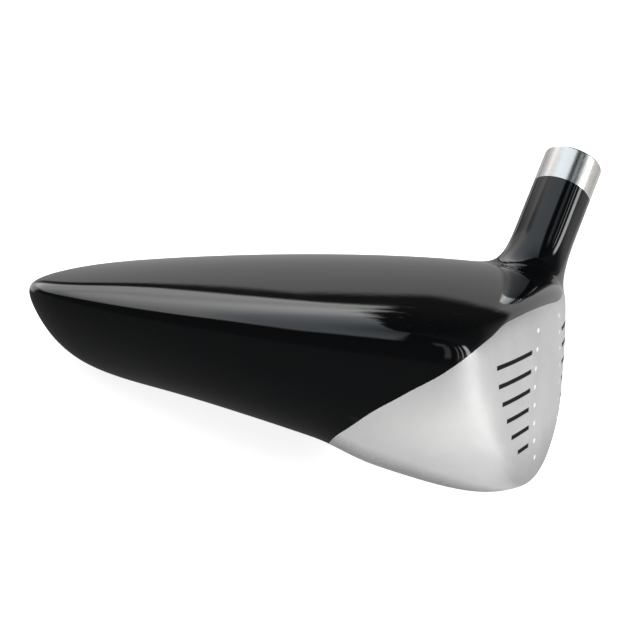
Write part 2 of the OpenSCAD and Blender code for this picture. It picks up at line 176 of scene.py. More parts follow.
def pmax(a, b, k):
    return -pmin(-a, -b, k)


def soft(v, w):
    return (v + np.sqrt(v * v + w * w)) / 2


def spl(c, u):
    n = len(c)
    w = np.mod(u, n)
    i = np.floor(w).astype(int)
    t = w - i
    r = 1 - t
    i = i % n
    return (r * r * r * c[(i - 1) % n] + (3 * t * t * t - 6 * t * t + 4) * c[i]
            + (-3 * t * t * t + 3 * t * t + 3 * t + 1) * c[(i + 1) % n] + t * t * t * c[(i + 2) % n]) / 6


def rim(y):
    return RIM_Z + RIM_SLOPE * (y + 7.4)


def crown_h(x, y):
    s = soft(-20.5 - y, 10)
    return (CROWN_Z - 0.2496 * s - 0.00104 * s ** 2 - 0.0023 * soft(y + 18, 6) ** 2
            - (0.0012 + 0.0001 * sst((-6 - y) / 34)) * (x - 1) * (x - 1))


def sole_h(x, y):
    return (SOLE_Z + 0.003 * (x - 3.4) * (x - 3.4) - 0.0021 * (y + 31.7) * (y + 31.7)
            + SOLE_STEP * (1 - sst((y + 34) / 14)))


def shells(p):
    x, y, z = p[..., 0], p[..., 1], p[..., 2]
    th = np.degrees(np.arctan2(y - PLAN_C[1], x - PLAN_C[0]))
    rho = np.hypot(x - PLAN_C[0], y - PLAN_C[1])
    fc = (z - crown_h(x, y)) * 0.96
    a, b = spl(UNDER_A, th / 45), spl(UNDER_B, th / 45)
    dz = rim(y) - z
    dp = soft(dz, 2)
    g = a + 2 * b * dp
    fs = (rho - spl(OUTLINE, th / 22.5) + a * dz + b * dp * dp) / np.sqrt(1 + g * g)
    fb = (sole_h(x, y) - z) * 0.99
    f1 = pmax(fc, fs, 14 * (0.35 + 0.65 * sst((y + 100) / 40)))
    return pmax(f1, fb, 18.0)


def head(p):
    x, y, z = p[..., 0], p[..., 1], p[..., 2]
    u = CS * y + SN * z
    v = -SN * y + CS * z
    ff = u + x * x / (2 * BULGE) + v * v / (2 * ROLL)
    kf = 6 + 2 * sst((12 - v) / 8) - 5.3 * sst(-v / 12)
    return pmax(shells(p), ff, kf)


def field(p):
    q = p - HOSEL
    s = q @ AX
    kn = 8.9 + 2.3 * sst((p[..., 1] - HOSEL_Y + 1) / 7)
    r = np.linalg.norm(q - s[..., None] * AX, axis=-1)
    return pmin(head(p), np.maximum(r - HR, -s - 6), kn)


def grad(p):
    e = 0.004
    g = np.stack([field(p + e * d) - field(p - e * d) for d in np.eye(3)], -1)
    return g / np.maximum(np.linalg.norm(g, axis=-1, keepdims=True), 1e-12)


def reach(o, d, lo, hi, n=30):
    lo = np.broadcast_to(np.asarray(lo, float), d.shape[:-1]).copy()
    hi = np.broadcast_to(np.asarray(hi, float), d.shape[:-1]).copy()
    for _ in range(n):
        m = (lo + hi) / 2
        ins = field(o + m[..., None] * d) < 0
        lo = np.where(ins, m, lo)
        hi = np.where(ins, hi, m)
    return (lo + hi) / 2


def cast(o, p):
    w = p - o
    l = np.linalg.norm(w, axis=-1)
    d = w / l[..., None]
    r = np.maximum(l - 2, 0)
    for _ in range(20):
        out = field(o + r[..., None] * d) > 0
        if not out.any():
            break
        r = np.where(out, r - 2, r)
    for _ in range(60):
        nxt = field(o + (r + 1.5)[..., None] * d) <= 0
        if not nxt.any():
            break
        r = np.where(nxt, r + 1.5, r)
    r = reach(o, d, r, r + 1.5, 26)
    return o + r[..., None] * d


def cup_y(x, z):
    return (-15.2 + 0.87 * z - 0.38 * soft(z - 7, 3)
            + (0.06 * soft(35 - x, 4) - 0.16 * soft(-16 - x, 6)) * sst((z + 5) / 12)
            + 1.1 * sst((-11 - z) / 9) * sst((x - 5) / 20)
            + (0.52 * sst((z + 1.5) / 6) - 0.42 * np.exp(-((z + 5.8) / 3.6) ** 2)) * sst((x - 31) / 13))


def cup_pt(psi):
    psi = np.atleast_1d(psi)
    c, s = np.cos(np.radians(psi)), np.sin(np.radians(psi))
    lo, hi = np.full(psi.shape, 1.0), np.full(psi.shape, 32.0)

    def at(m):
        x, z = 2 + 2.2 * m * c, -3 + m * s
        return np.stack([x, cup_y(x, z), z], -1)
    for _ in range(32):
        m = (lo + hi) / 2
        ins = field(at(m)) < 0
        lo, hi = np.where(ins, m, lo), np.where(ins, hi, m)
    return at((lo + hi) / 2)


def neck_pt(phi, s):
    phi, s = np.broadcast_arrays(np.asarray(phi, float), np.asarray(s, float))
    o = HOSEL + s[..., None] * AX
    d = np.cos(np.radians(phi))[..., None] * EX + np.sin(np.radians(phi))[..., None] * EY
    return o + reach(o, d, 4.0, 60.0)[..., None] * d


def neck_base(phi):
    return 5.85 + 2.85 * np.cos(np.radians(phi)) - 3.65 * np.sin(np.radians(phi))


def neck_cup(phi):
    phi = np.atleast_1d(np.asarray(phi, float))
    lo, hi = np.full(phi.shape, -13.0), np.full(phi.shape, 26.0)
    for _ in range(26):
        m = (lo + hi) / 2
        p = neck_pt(phi, m)
        a = p[..., 1] > cup_y(p[..., 0], p[..., 2])
        lo, hi = np.where(a, m, lo), np.where(a, hi, m)
    return (lo + hi) / 2


def solve(fn, lo, hi, n=26):
    for _ in range(n):
        m = (lo + hi) / 2
        if fn(m):
            lo = m
        else:
            hi = m
    return (lo + hi) / 2


def rim_pt(th, lift=0.0):
    th = np.atleast_1d(np.asarray(th, float))
    c, s = np.cos(np.radians(th)), np.sin(np.radians(th))
    d = np.stack([c, s, RIM_SLOPE * s], -1)
    o = np.stack([PLAN_C[0] + 0 * c, PLAN_C[1] + 0 * c, rim(PLAN_C[1]) + 0.3 + lift + 0 * c], -1)
    return o + reach(o, d, 20.0, 75.0)[..., None] * d


phi_b = solve(lambda m: neck_base(m) > neck_cup(m)[0], 0.0, 60.0)
phi_d = solve(lambda m: neck_base(m) < neck_cup(m)[0], 100.0, 190.0)


def _behind_cup(m):
    p = rim_pt(m)[0]
    return p[1] < cup_y(p[0], p[2])


phi_a = 261.0                                     # where the neck's foot reaches furthest back
th_t = solve(_behind_cup, 10.0, 70.0)
pt_a, pt_b, pt_d = (neck_pt(f, neck_base(f)) for f in (phi_a, phi_b, phi_d))
pt_t = rim_pt(th_t)[0]
th_a = math.degrees(math.atan2(pt_a[1] - PLAN_C[1], pt_a[0] - PLAN_C[0])) - 360
rise_a = pt_a[2] - rim(pt_a[1]) - 0.3


def psi_of(p):
    return math.degrees(math.atan2(p[2] + 3, (p[0] - 2) / 2.2))


psi_b, psi_t, psi_d = psi_of(pt_b), psi_of(pt_t), psi_of(pt_d)
if psi_d < 0:
    psi_d += 360


def run(a, b, n):
    return a + (b - a) * np.arange(n) / n


def resample(c, last, n):
    """n points evenly spaced along curve c up to last, itself left out"""
    p = np.vstack([c, last[None]])
    s = np.concatenate([[0], np.cumsum(np.linalg.norm(np.diff(p, axis=0), axis=1))])
    t = np.linspace(0, s[-1], n + 1)[:-1]
    return t, s, p


N_TA, N_AB, N_BT, N_BD, N_DA, N_DT = 190, 60, 90, 60, 44, 150
f_ta = run(th_t, th_a, N_TA)
c_ta = rim_pt(f_ta, rise_a * sst((th_a + 24 - f_ta) / 24)); c_ta[0] = pt_t
f_ab = run(phi_a, 360 + phi_b, N_AB)
c_ab = neck_pt(f_ab, neck_base(f_ab)); c_ab[0] = pt_a
c_bt = cup_pt(run(psi_b, psi_t, N_BT)); c_bt[0] = pt_b
f_bd = run(phi_b, phi_d, N_BD)
s_bd = neck_cup(f_bd)
c_bd = neck_pt(f_bd, s_bd); c_bd[0] = pt_b
f_da = run(phi_d, phi_a, N_DA)
c_da = neck_pt(f_da, neck_base(f_da)); c_da[0] = pt_d
c_dt = cup_pt(run(psi_d, 360 + psi_t, N_DT)); c_dt[0] = pt_d


def back(c, last):
    return np.vstack([last[None], c[:0:-1]])


crown_loop = np.vstack([c_ta, c_ab, c_bt])
skirt_loop = np.vstack([c_ta, back(c_da, pt_a), c_dt])
cup_loop = np.vstack([back(c_dt, pt_t), back(c_bd, pt_d), c_bt])
neck_loop = np.vstack([c_ab, c_bd, c_da])
neck_phi = np.concatenate([f_ab, 360 + f_bd, 360 + f_da])
neck_s = np.concatenate([neck_base(f_ab), s_bd, neck_base(f_da)])


def sole_pt(a):
    c, s = np.cos(a), np.sin(a)
    k = 1 / ((np.abs(c) / 25) ** 2.4 + (np.abs(s) / 21) ** 2.4) ** (1 / 2.4)
    o = np.stack([SOLE_C[0] + k * c, SOLE_C[1] + k * s, np.full(c.shape, -12.0)], -1)
    d = np.broadcast_to(np.array([0.0, 0.0, -1.0]), o.shape)
    return o + reach(o, d, 0.0, 16.0)[..., None] * d


# mostly even steps round the oval, leaning toward the direction of each skirt point
_dir = np.degrees(np.arctan2(skirt_loop[:, 1] - SOLE_C[1], skirt_loop[:, 0] - SOLE_C[0]))
_even = _dir[0] - 360 * np.arange(len(_dir)) / len(_dir)
sole_loop = sole_pt(np.radians(_even + 0.3 * ((_dir - _even + 180) % 360 - 180)))


def crown_o(p):
    """where the ray through p starts: low inside, a third of the way to the core"""
    return np.stack([p[..., 0] + 0.3 * (CORE[0] - p[..., 0]), p[..., 1] + 0.3 * (CORE[1] - p[..., 1]),
                     rim(p[..., 1]) - 8], -1)


def skirt_o(p):
    """as far behind the cup's seam as p is, so that no ray crosses it"""
    y = np.maximum(CORE[1], cup_y(CORE[0], CORE[2]) - cup_y(p[..., 0], p[..., 2]) + p[..., 1])
    return np.stack([CORE[0] + 0 * y, y, CORE[2] + 0 * y], -1)


def face_pt(x, v):
    u = -x * x / (2 * BULGE) - v * v / (2 * ROLL)
    return np.stack([x, CS * u - SN * v, SN * u + CS * v], -1)


# ------------------------------------------------------------------ meshes
def mm(p):
    return (np.asarray(p) - TIP) / 1000.0


def make(name, verts, faces, smooth=True):
    """verts in the CAD frame, metres"""
    me = bpy.data.meshes.new(name)
    me.from_pydata([tuple(v) for v in verts], [], [tuple(map(int, f)) for f in faces])
    me.validate()
    me.update()
    me.polygons.foreach_set("use_smooth", [smooth] * len(me.polygons))
    o = bpy.data.objects.new(name, me)
    bpy.context.scene.collection.objects.link(o)
    return o


def field_normals(o, tol=0.02, dot=0.55):
    """Exact normals of the outside surface where a face lies on it, flat ones elsewhere."""
    me = o.data
    nv, nl, nf = len(me.vertices), len(me.loops), len(me.polygons)
    co = np.empty(nv * 3); me.vertices.foreach_get("co", co)
    co = co.reshape(-1, 3) * 1000 + TIP
    li = np.empty(nl, int); me.loops.foreach_get("vertex_index", li)
    fn = np.empty(nf * 3); me.polygons.foreach_get("normal", fn)
    fn = fn.reshape(-1, 3)
    lt = np.empty(nf, int); me.polygons.foreach_get("loop_total", lt)
    pf = np.repeat(np.arange(nf), lt)
    on = np.abs(field(co)) < tol
    g = grad(co)
    lf = fn[pf]
    lg = g[li]
    use = on[li] & ((lf * lg).sum(1) > dot)
    # a face counts only when all of its corners lie on the surface
    bad = np.zeros(nf, bool)
    np.logical_or.at(bad, pf, ~use)
    n = np.where(bad[pf][:, None], lf, lg)
    me.normals_split_custom_set([tuple(v) for v in n])


def quad_rows(a, b, n, off=0):
    j = np.arange(n)
    k = (j + 1) % n
    return np.stack([off + a * n + j, off + b * n + j, off + b * n + k, off + a * n + k], 1)


def shell(name, rows, wall, mid=None, flip=False):
    """A closed wall: rows of outside points, the same rows inside, rims between."""
    rows = np.asarray(rows)
    m, n = rows.shape[:2]
    g = grad(rows)
    ins = rows - np.asarray(wall)[:, None, None] * g
    pts = [rows.reshape(-1, 3), ins.reshape(-1, 3)]
    faces = [quad_rows(i, i + 1, n) for i in range(m - 1)]
    faces += [quad_rows(m + i + 1, m + i, n) for i in range(m - 1)]
    faces.append(quad_rows(m - 1, 2 * m - 1, n))
    faces = [list(f) for f in np.vstack(faces)]
    if mid is None:
        faces += [list(f) for f in quad_rows(m, 0, n)]
    else:
        c = 2 * m * n
        pts += [mid[None], (mid - wall[0] * grad(mid[None])[0])[None]]
        j = np.arange(n); k = (j + 1) % n
        faces += [[c, a, b] for a, b in zip(j, k)]
        faces += [[c + 1, m * n + b, m * n + a] for a, b in zip(j, k)]
    if flip:
        faces = [f[::-1] for f in faces]
    # Blender wants faces counter-clockwise from outside
    faces = [f[::-1] for f in faces]
    return make(name, mm(np.vstack(pts)), faces)


def fan(mid, loop, w, o):
    rows = []
    for v in w:
        q = mid + v * (loop - mid)
        rows.append(loop.copy() if v >= 1 else cast(o(q) if callable(o) else o, q))
    return rows


def band(lin, lout, w, o):
    rows = []
    for v in w:
        q = lin + v * (lout - lin)
        rows.append(lin.copy() if v <= 0 else lout.copy() if v >= 1 else cast(o(q) if callable(o) else o, q))
    return rows


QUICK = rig.quick()
R = 0.5 if QUICK else 1.0


def steps(n, power):
    t = np.arange(1, int(n * R) + 1) / int(n * R)
    return 1 - (1 - t) ** power


# crown
mid = cast(CORE, np.array([[2.0, -46.0, 9.0]]))[0]
w = steps(70, 1.8)
crown = shell("crown_shell", fan(mid, crown_loop, w, crown_o),
              SEAM_T + (CROWN_T - SEAM_T) * sst((1 - w) / 0.15), mid)
field_normals(crown)

# skirt
t = np.arange(int(56 * R) + 1) / int(56 * R)
w = 1 - (1 - t) ** 1.35
w[0], w[-1] = 0, 1
skirt = shell("skirt_shell", band(sole_loop, skirt_loop, w, skirt_o),
              SEAM_T + (SKIRT_T - SEAM_T) * sst(w / 0.2) * sst((1 - w) / 0.2), flip=True)
field_normals(skirt)

# sole plate
mid = cast(CORE, np.array([[SOLE_C[0], SOLE_C[1], -20.0]]))[0]
w = steps(16, 1.0)
sole = shell("sole_panel", fan(mid, sole_loop, w, CORE), SEAM_T + 0.5 * (1 - w), mid, flip=True)
field_normals(sole)

# neck
t = np.arange(int(64 * R) + 1) / int(64 * R)
w = 1 - (1 - t) ** 1.3
rows = [neck_loop if v >= 1 else neck_pt(neck_phi, S_NECK + v * (neck_s - S_NECK)) for v in w]
neck = shell("neck_flare", rows, np.full(len(w), SEAM_T), flip=True)
field_normals(neck)

# face cup
vv = -SN * cup_loop[:, 1] + CS * cup_loop[:, 2]
ll = np.hypot(cup_loop[:, 0], vv)
dx, dv = cup_loop[:, 0] / ll, vv / ll
lo, hi = np.full(len(ll), 2.0), np.full(len(ll), 75.0)
for _ in range(26):
    m_ = (lo + hi) / 2
    ins_ = shells(face_pt(m_ * dx, m_ * dv)) < 0
    lo, hi = np.where(ins_, m_, lo), np.where(ins_, hi, m_)
er = np.minimum((lo + hi) / 2, 0.965 * ll)
edge = face_pt(er * dx, er * dv)
wf = np.concatenate([np.linspace(0.12, 0.84, int(10 * R)), np.linspace(0.87, 1.0, int(12 * R))])
wr = steps(44, 1.0) ** 1.35
rows = [cast(FACE_CORE, face_pt(v * er * dx, v * er * dv)) for v in wf]
rows += [cup_loop.copy() if v >= 1 else cast(FACE_CORE, edge + v * (cup_loop - edge)) for v in wr]
wall = np.concatenate([np.where(wf < 0.8, FACE_T, FACE_T + (1.4 - FACE_T) * (wf - 0.8) / 0.2),
                       np.maximum(1.35 - 0.9 * wr, SEAM_T)])
mid = cast(FACE_CORE, np.array([[0.0, 0.0, 0.0]]))[0]
cup = shell("face_cup_shell", rows, wall, mid, flip=True)


# score lines and dots: bars bent to the bulge, short round pockets
def on_face(x, v, depth):
    """point at x across and v up the face, depth under it"""
    p = face_pt(x, v)
    n = np.stack([x / BULGE, CS + 0 * x - SN * v / ROLL, SN + 0 * x + CS * v / ROLL], -1)
    n /= np.linalg.norm(n, axis=-1, keepdims=True)
    return p - depth[..., None] * n if isinstance(depth, np.ndarray) else p - depth * n


def bar(name, x0, x1, v, d0, d1, wd, soft_floor=0.0):
    k = 24
    xs = np.linspace(x0, x1, k)
    pts = []
    for x in xs:
        for (a, d) in ((-wd / 2, d0), (wd / 2, d0), (wd / 2, d1), (-wd / 2, d1)):
            pts.append(on_face(np.array([x]), np.array([v + a]), d)[0])
    f = [[0, 1, 2, 3], [4 * k - 1, 4 * k - 2, 4 * k - 3, 4 * k - 4]]
    for i in range(k - 1):
        for j in range(4):
            f.append([4 * i + j, 4 * i + 4 + j, 4 * i + 4 + (j + 1) % 4, 4 * i + (j + 1) % 4])
    return pts, f


def disc(x, v, d0, d1, d, k=28):
    pts = []
    for dd in (d0, d1):
        for i in range(k):
            a = 2 * math.pi * i / k
            pts.append(on_face(np.array([x + DOT_W / 2 * math.cos(a)]), np.array([v + d / 2 * math.sin(a)]), dd)[0])
    f = [list(range(k)), list(range(2 * k - 1, k - 1, -1))]
    for i in range(k):
        f.append([i, k + i, k + (i + 1) % k, (i + 1) % k])
    return pts, f


def gather(name, parts):
    P, F = [], []
    for p, f in parts:
        b = len(P)
        P += p
        F += [[b + i for i in q] for q in f]
    o = make(name, mm(np.array(P)), F, smooth=False)
    bm = bmesh.new(); bm.from_mesh(o.data)
    bmesh.ops.recalc_face_normals(bm, faces=bm.faces)
    bm.to_mesh(o.data); bm.free()
    return o


def lines(side, d0, d1, wd):
    out = []
    for i in range(6 if side > 0 else 5):
        a, b = LINE_IN[i], (LINE_OUT if side > 0 else HEEL_OUT)[i]
        x0, x1 = (a, b) if side > 0 else (-b, -a)
        out.append(bar("l", x0, x1, (2 - i) * PITCH, d0, d1, wd))
    return out


def dots(side, d0, d1, d):
    return [disc(side * DOT_X[i], (3 - i) * PITCH, d0, d1, d) for i in range(8 if side > 0 else 7)]


cutter = gather("cutter", lines(1, -1.0, LINE_DEPTH, LINE_W) + lines(-1, -1.0, LINE_DEPTH, LINE_W)
                + dots(1, -1.0, DOT_DEPTH, DOT_D) + dots(-1, -1.0, DOT_DEPTH, DOT_D))
mod = cup.modifiers.new("cut", "BOOLEAN")
mod.object = cutter
mod.operation = "DIFFERENCE"
mod.solver = "EXACT"
dg = bpy.context.evaluated_depsgraph_get()
cut_mesh = bpy.data.meshes.new_from_object(cup.evaluated_get(dg))
cup.modifiers.clear()
cup.data = cut_mesh
bpy.data.objects.remove(cutter)
cup.data.polygons.foreach_set("use_smooth", [True] * len(cup.data.polygons))
field_normals(cup)

toe_lines = gather("toe_line_fill", lines(1, LINE_DEPTH - LINE_PAINT, LINE_DEPTH, LINE_W))
heel_lines = gather("heel_line_fill", lines(-1, LINE_DEPTH - LINE_PAINT, LINE_DEPTH, LINE_W))
toe_dots = gather("toe_dot_fill", dots(1, 0.04, DOT_DEPTH, DOT_D))
heel_dots = gather("heel_dot_fill", dots(-1, 0.04, DOT_DEPTH, DOT_D))


# hosel tube, turned, with a rounded tip edge
def lathe(name, prof, n=160):
    prof = np.array(prof)
    pts, faces = [], []
    k = len(prof)
    for j in range(n):
        a = 2 * math.pi * j / n
        d = math.cos(a) * EX + math.sin(a) * EY
        for r, z in prof:
            pts.append(TIP + r * d + z * AX)
    for j in range(n):
        b = (j + 1) % n
        for i in range(k - 1):
            faces.append([j * k + i, j * k + i + 1, b * k + i + 1, b * k + i])
    o = make(name, mm(np.array(pts)), faces)
    bm = bmesh.new(); bm.from_mesh(o.data)
    bmesh.ops.remove_doubles(bm, verts=bm.verts, dist=1e-7)
    bmesh.ops.dissolve_degenerate(bm, edges=bm.edges, dist=1e-7)
    bmesh.ops.recalc_face_normals(bm, faces=bm.faces)
    bm.to_mesh(o.data); bm.free()
    return o


arc = [(HR - 0.5 + 0.5 * math.sin(rad(a)), -0.5 + 0.5 * math.cos(rad(a))) for a in range(0, 91, 10)]
prof = [(0, -BORE_DEPTH), (BORE_D / 2, -BORE_DEPTH), (BORE_D / 2, -0.25), (BORE_D / 2 + 0.25, 0)]
prof += arc
# fine turning marks on the collar
for i in range(1, 40):
    z = -0.5 - (COLLAR_H - 0.55) * i / 40
    prof.append((HR - (0.006 if i % 2 else 0.0), z))
prof += [(HR, -COLLAR_H + 0.1), (HR - 0.08, -COLLAR_H + 0.02), (TUBE_R - 0.02, -COLLAR_H + 0.02),
         (TUBE_R - 0.02, -BORE_DEPTH - 3), (0, -BORE_DEPTH - 3)]
tube = lathe("hosel_collar", prof)
me = tube.data
try:
    me.set_sharp_from_angle(angle=rad(35))
except Exception:
    pass

for o, node, slot in ((crown, "crown_plate", "black_paint"), (skirt, "body_skirt", "black_paint"),
                      (sole, "sole_plate", "black_paint"), (neck, "hosel_neck", "black_paint"),
                      (cup, "face_cup", "satin_steel"), (tube, "hosel_tube", "turned_steel"),
                      (toe_lines, "toe_score_paint", "score_paint"), (heel_lines, "heel_score_paint", "score_paint"),
                      (toe_dots, "toe_dot_paint", "dot_paint"), (heel_dots, "heel_dot_paint", "dot_paint")):
    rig.ride(o, "root")
    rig.replaces(o, node)
    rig.slot(o, slot)


# ------------------------------------------------------------------ materials
def new_mat(name):
    m = bpy.data.materials.new(name)
    m.use_nodes = True
    nt = m.node_tree
    b = nt.nodes["Principled BSDF"]
    return m, nt, b


def node(nt, kind, **kw):
    n = nt.nodes.new(kind)
    for k, v in kw.items():
        setattr(n, k, v)
    return n


def noise(nt, scale, detail=4.0, rough=0.55, vec=None, dist=0.0):
    n = node(nt, "ShaderNodeTexNoise")
    n.inputs["Scale"].default_value = scale
    n.inputs["Detail"].default_value = detail
    n.inputs["Roughness"].default_value = rough
    n.inputs["Distortion"].default_value = dist
    if vec is not None:
        nt.links.new(vec, n.inputs["Vector"])
    return n


def ramp(nt, fac, stops):
    r = node(nt, "ShaderNodeValToRGB")
    e = r.color_ramp.elements
    while len(e) > 1:
        e.remove(e[-1])
    e[0].position, e[0].color = stops[0][0], (*stops[0][1], 1)
    for p, c in stops[1:]:
        x = e.new(p)
        x.color = (*c, 1)
    nt.links.new(fac, r.inputs["Fac"])
    return r


def maprange(nt, fac, a, b, c, d):
    r = node(nt, "ShaderNodeMapRange")
    for i, v in enumerate((a, b, c, d)):
        r.inputs[1 + i].default_value = v
    nt.links.new(fac, r.inputs[0])
    return r


def bump(nt, height, strength, dist, normal=None):
    b = node(nt, "ShaderNodeBump")
    b.inputs["Strength"].default_value = strength
    b.inputs["Distance"].default_value = dist
    nt.links.new(height, b.inputs["Height"])
    if normal is not None:
        nt.links.new(normal, b.inputs["Normal"])
    return b


# gloss black paint under clear coat: faint orange peel, faint dust and hairlines in the gloss
paint, nt, b = new_mat("gloss_black_paint")
tc = node(nt, "ShaderNodeTexCoord")
obj = tc.outputs["Object"]
flake = noise(nt, 9000, 2, 0.5, obj)
cr = ramp(nt, flake.outputs["Fac"], [(0.35, (0.0018, 0.0019, 0.0021)), (0.75, (0.0038, 0.0042, 0.0046))])
nt.links.new(cr.outputs["Color"], b.inputs["Base Color"])
b.inputs["IOR"].default_value = 1.5
smear = noise(nt, 55, 5, 0.6, obj, 0.4)
rr = maprange(nt, smear.outputs["Fac"], 0.3, 0.7, 0.03, 0.055)
nt.links.new(rr.outputs[0], b.inputs["Roughness"])
peel = noise(nt, 420, 2, 0.4, obj)
bp = bump(nt, peel.outputs["Fac"], 0.05, 0.00008)
nt.links.new(bp.outputs[0], b.inputs["Normal"])

# satin blasted steel: fine grain, soft cloudiness; painted shade darkens the base colour of the down-facing steel by
# the sole, broken up by scuff grain, and the colour is darker low down on the face
satin, nt, b = new_mat("satin_blasted_steel")
tc = node(nt, "ShaderNodeTexCoord")
obj = tc.outputs["Object"]
cloud = noise(nt, 60, 6, 0.6, obj)
cr = ramp(nt, cloud.outputs["Fac"], [(0.3, (0.58, 0.58, 0.58)), (0.7, (0.665, 0.665, 0.66))])
geo = node(nt, "ShaderNodeNewGeometry")
way = node(nt, "ShaderNodeSeparateXYZ")
place = node(nt, "ShaderNodeSeparateXYZ")
nt.links.new(geo.outputs["Normal"], way.inputs[0])
nt.links.new(geo.outputs["Position"], place.inputs[0])
# painted shade: steel that faces down, by the sole, gets a darker base colour
sole_side = maprange(nt, way.outputs["Z"], -0.80, -0.92, 0.0, 1.0)
# darker low down on the face, where the steel faces forward
low = maprange(nt, place.outputs["Z"], -0.0425, -0.050, 0.0, 1.0)
facing = maprange(nt, way.outputs["Y"], 0.50, 0.80, 0.0, 1.0)
lower_face = node(nt, "ShaderNodeMath", operation="MULTIPLY")
nt.links.new(low.outputs[0], lower_face.inputs[0])
nt.links.new(facing.outputs[0], lower_face.inputs[1])
# scuff grain breaks up that painted shade
scuff = noise(nt, 1500, 4, 0.7, obj)
rub = maprange(nt, scuff.outputs["Fac"], 0.35, 0.65, 0.55, 1.0)
down_shade_scuffed = node(nt, "ShaderNodeMath", operation="MULTIPLY")
nt.links.new(sole_side.outputs[0], down_shade_scuffed.inputs[0])
nt.links.new(rub.outputs[0], down_shade_scuffed.inputs[1])
keep1 = maprange(nt, down_shade_scuffed.outputs[0], 0.0, 1.0, 1.0, 0.42)
keep2 = maprange(nt, lower_face.outputs[0], 0.0, 1.0, 1.0, 0.64)
keep = node(nt, "ShaderNodeMath", operation="MULTIPLY")
nt.links.new(keep1.outputs[0], keep.inputs[0])
nt.links.new(keep2.outputs[0], keep.inputs[1])
# base colour scaled down by the painted shade by the sole and the darker lower face
darkened_base = node(nt, "ShaderNodeVectorMath", operation="SCALE")
nt.links.new(cr.outputs["Color"], darkened_base.inputs[0])
nt.links.new(keep.outputs[0], darkened_base.inputs["Scale"])
nt.links.new(darkened_base.outputs[0], b.inputs["Base Color"])
b.inputs["Metallic"].default_value = 0.62
b.inputs["Specular IOR Level"].default_value = 0.3
gr = noise(nt, 2600, 3, 0.6, obj)
rr = maprange(nt, gr.outputs["Fac"], 0.3, 0.7, 0.40, 0.50)
nt.links.new(rr.outputs[0], b.inputs["Roughness"])
bp = bump(nt, gr.outputs["Fac"], 0.35, 0.00003)
bp2 = bump(nt, cloud.outputs["Fac"], 0.05, 0.0003, bp.outputs[0])
nt.links.new(bp2.outputs[0], b.inputs["Normal"])

# bare turned steel: fine rings round the axis
turned, nt, b = new_mat("turned_steel")
tc = node(nt, "ShaderNodeTexCoord")
mp = node(nt, "ShaderNodeMapping")
mp.inputs["Rotation"].default_value = (0, rad(90 - LIE), 0)
nt.links.new(tc.outputs["Object"], mp.inputs["Vector"])
mp2 = node(nt, "ShaderNodeMapping")
mp2.inputs["Scale"].default_value = (60, 60, 9000)
nt.links.new(mp.outputs[0], mp2.inputs["Vector"])
rings = noise(nt, 1.0, 3, 0.6, mp2.outputs[0])
b.inputs["Metallic"].default_value = 1.0
cr = ramp(nt, rings.outputs["Fac"], [(0.3, (0.672, 0.652, 0.632)), (0.7, (0.81, 0.787, 0.762))])
nt.links.new(cr.outputs["Color"], b.inputs["Base Color"])
rr = maprange(nt, rings.outputs["Fac"], 0.3, 0.7, 0.16, 0.26)
nt.links.new(rr.outputs[0], b.inputs["Roughness"])
bp = bump(nt, rings.outputs["Fac"], 0.25, 0.00002)
nt.links.new(bp.outputs[0], b.inputs["Normal"])


def fill(name, lo, hi, rough):
    m, nt, b = new_mat(name)
    tc = node(nt, "ShaderNodeTexCoord")
    n = noise(nt, 1800, 3, 0.6, tc.outputs["Object"])
    cr = ramp(nt, n.outputs["Fac"], [(0.3, lo), (0.7, hi)])
    nt.links.new(cr.outputs["Color"], b.inputs["Base Color"])
    b.inputs["Roughness"].default_value = rough
    bp = bump(nt, n.outputs["Fac"], 0.3, 0.00004)
    nt.links.new(bp.outputs[0], b.inputs["Normal"])
    return m


line_mat = fill("matt_black_fill", (0.002, 0.002, 0.0025), (0.006, 0.006, 0.0065), 0.75)
line_mat.node_tree.nodes["Principled BSDF"].inputs["Specular IOR Level"].default_value = 0.12
dot_mat = fill("white_fill", (0.86, 0.86, 0.84), (0.95, 0.95, 0.93), 0.5)
rough_mat = fill("raw_weld_steel", (0.22, 0.21, 0.2), (0.42, 0.41, 0.39), 0.55)
rough_mat.node_tree.nodes["Principled BSDF"].inputs["Metallic"].default_value = 1.0

for o, m in ((crown, paint), (skirt, paint), (sole, paint), (neck, paint), (cup, satin), (tube, turned),
             (toe_lines, line_mat), (heel_lines, line_mat), (toe_dots, dot_mat), (heel_dots, dot_mat)):
    o.data.materials.clear()
    o.data.materials.append(m)
for name, o in frame["nodes"].items():
    if name in ("rear_weight_pad", "front_weld_bead", "crown_weld_bead", "neck_weld_bead", "sole_weld_bead"):
        o.data.materials.clear()
        o.data.materials.append(rough_mat)

# ------------------------------------------------------------------ stage
scene = bpy.context.scene
lowest = min(cad_box[0][2], cad_box[1][2])
fm = bpy.data.meshes.new("floor")
s = 4.0
fm.from_pydata([(-s, -s, lowest), (s, -s, lowest), (s, s, lowest), (-s, s, lowest)], [], [(0, 1, 2, 3)])
floor = bpy.data.objects.new("floor", fm)
scene.collection.objects.link(floor)
fmat, nt, b = new_mat("pale_floor")
tc = node(nt, "ShaderNodeTexCoord")
fn_ = noise(nt, 30, 4, 0.5, tc.outputs["Object"])
fr = ramp(nt, fn_.outputs["Fac"], [(0.3, (0.885, 0.885, 0.885)), (0.7, (0.905, 0.905, 0.905))])
nt.links.new(fr.outputs["Color"], b.inputs["Base Color"])
b.inputs["Roughness"].default_value = 0.9
b.inputs["Specular IOR Level"].default_value = 0.1
b.inputs["Emission Color"].default_value = (1, 1, 1, 1)
b.inputs["Emission Strength"].default_value = 0.86
ft = fmat.node_tree                                # bounced light off the floor is kept low
fout = next(n for n in ft.nodes if n.type == "OUTPUT_MATERIAL")
flp = ft.nodes.new("ShaderNodeLightPath")
fdim = ft.nodes.new("ShaderNodeEmission")
fdim.inputs["Strength"].default_value = 1.9
fmix = ft.nodes.new("ShaderNodeMixShader")
